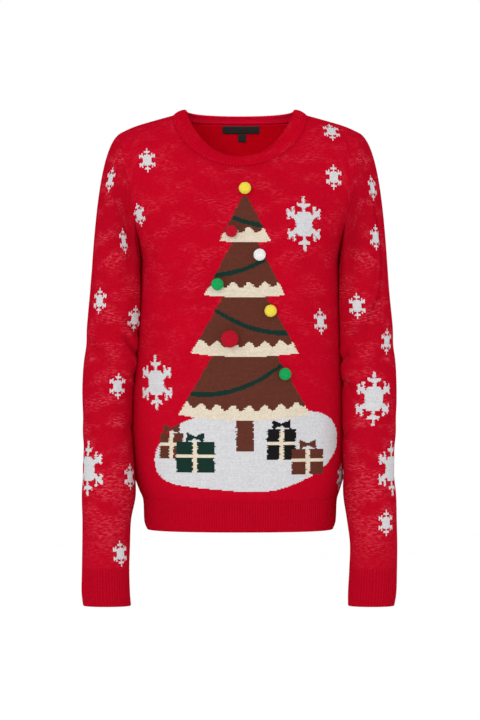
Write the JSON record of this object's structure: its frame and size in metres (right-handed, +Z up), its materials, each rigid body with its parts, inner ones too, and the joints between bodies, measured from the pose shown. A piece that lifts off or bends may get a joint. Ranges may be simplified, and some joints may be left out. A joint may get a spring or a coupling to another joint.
{
  "type": "christmas sweater",
  "caption": "Hollow long-sleeved knitted christmas sweater with ribbed crew neck, cuffs and hem, filled out as worn, with pompoms on the front.",
  "frame": {"origin": "base of the neck, midway between the shoulder seams at the height of the collar's outer edge, where the wearer's shoulders carry the sweater", "axes": "+Z up, +X the wearer's left, -Y the way the front faces"},
  "size_m": [0.4524, 0.2431, 0.7147],
  "materials": {
    "red_knit": "fine plain knit with 1 x 1 ribs, matt",
    "black_satin": "woven satin, soft sheen",
    "yellow_wool": "cut yarn, matt",
    "red_wool": "cut yarn, matt",
    "white_wool": "cut yarn, matt",
    "green_wool": "cut yarn, matt"
  },
  "bodies": {
    "root": {"front": "red_knit", "back": "red_knit", "sleeve_left": "red_knit", "sleeve_right": "red_knit", "collar": "red_knit", "neck_label": "black_satin", "size_tab": "black_satin", "pompom_yellow_top": "yellow_wool", "pompom_red_small": "red_wool", "pompom_white": "white_wool", "pompom_green_upper": "green_wool", "pompom_yellow_lower": "yellow_wool", "pompom_red_large": "red_wool", "pompom_green_lower": "green_wool"}
  },
  "joints": []
}
